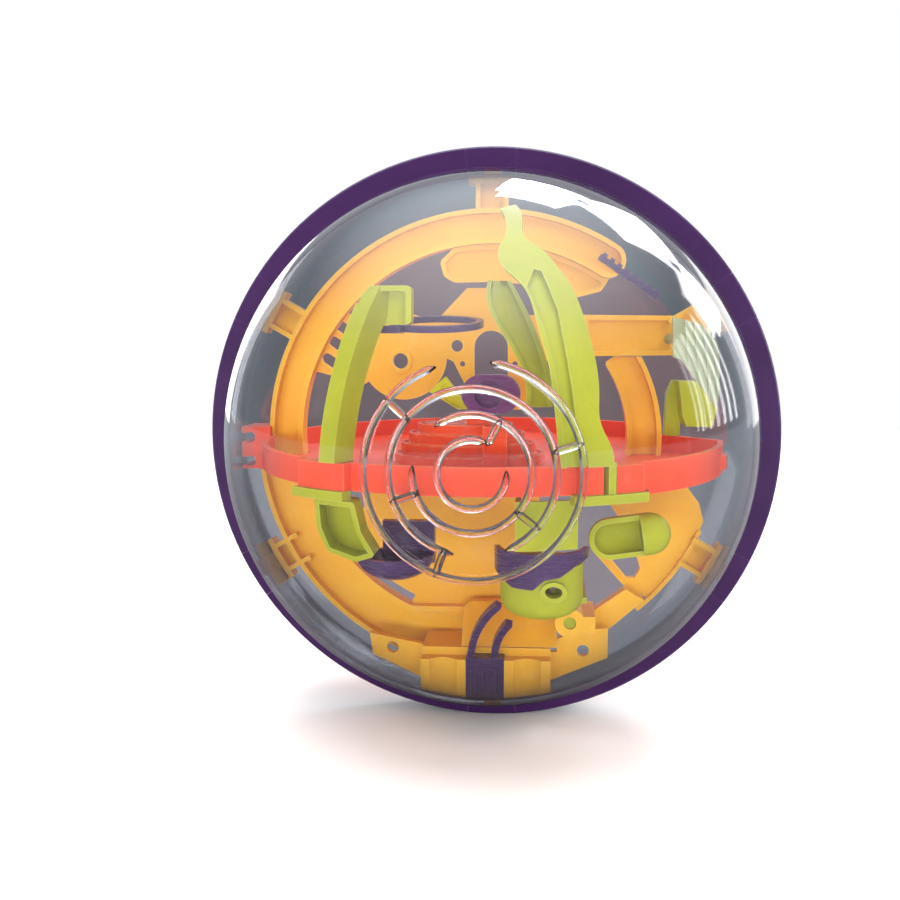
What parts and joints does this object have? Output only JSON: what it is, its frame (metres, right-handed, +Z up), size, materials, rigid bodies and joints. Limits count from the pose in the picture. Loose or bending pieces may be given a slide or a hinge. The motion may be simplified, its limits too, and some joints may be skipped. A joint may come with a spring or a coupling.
{
  "type": "tilt maze game",
  "caption": "Hand-held clear sphere with a dark equator band and a coloured plastic ball track inside, holding one small steel ball that is rolled along the track by tilting.",
  "frame": {"origin": "centre of the clear sphere", "axes": "+X to the right of the maze, +Y from its front to its back along the band's axis, +Z up"},
  "size_m": [0.2, 0.185, 0.2],
  "materials": {
    "clear_shell": "clear moulded plastic, polished",
    "band_purple": "dark purple moulded plastic, semi-gloss",
    "clip_purple": "purple moulded plastic, semi-gloss",
    "frame_yellow": "yellow-orange moulded plastic, satin",
    "tray_orange": "red-orange moulded plastic, satin",
    "track_lime": "lime-green moulded plastic, slightly translucent",
    "ball_steel": "polished steel"
  },
  "bodies": {
    "maze": {"front_dome": "clear_shell", "rear_dome": "clear_shell", "band_segments": "band_purple", "band_clips": "band_purple", "main_ring": "frame_yellow", "upper_lobe_tray": "frame_yellow", "window_panel": "frame_yellow", "right_bar": "frame_yellow", "inner_curve": "frame_yellow", "lobe_scoop": "frame_yellow", "lower_panel": "frame_yellow", "hinge_strut": "frame_yellow", "base_block": "frame_yellow", "base_apron": "frame_yellow", "equator_tray": "tray_orange", "spiral_mound": "tray_orange", "mound_cap": "tray_orange", "left_arch": "track_lime", "centre_arch": "track_lime", "inner_slide": "track_lime", "ramp_fin": "track_lime", "right_hook": "track_lime", "upper_right_fin": "track_lime", "shelf_clips": "track_lime", "lower_left_chute": "track_lime", "cup_chute": "track_lime", "capsule_cup": "track_lime", "ball_cup": "track_lime", "green_peg": "track_lime", "drop_hoop": "clip_purple", "tunnel_cup": "clip_purple", "tray_gate": "clip_purple", "boat_dish": "clip_purple", "cup_hood": "clip_purple", "rail_pair": "clip_purple", "stair_strip": "clip_purple"},
    "ball": {"steel_ball": "ball_steel"}
  },
  "joints": [
    {"name": "ball_roll", "type": "hinge", "parent": "maze", "child": "ball", "pos_m": [0.018, -0.06, -0.0396], "axis": [0, 0, 1], "continuous": true}
  ]
}
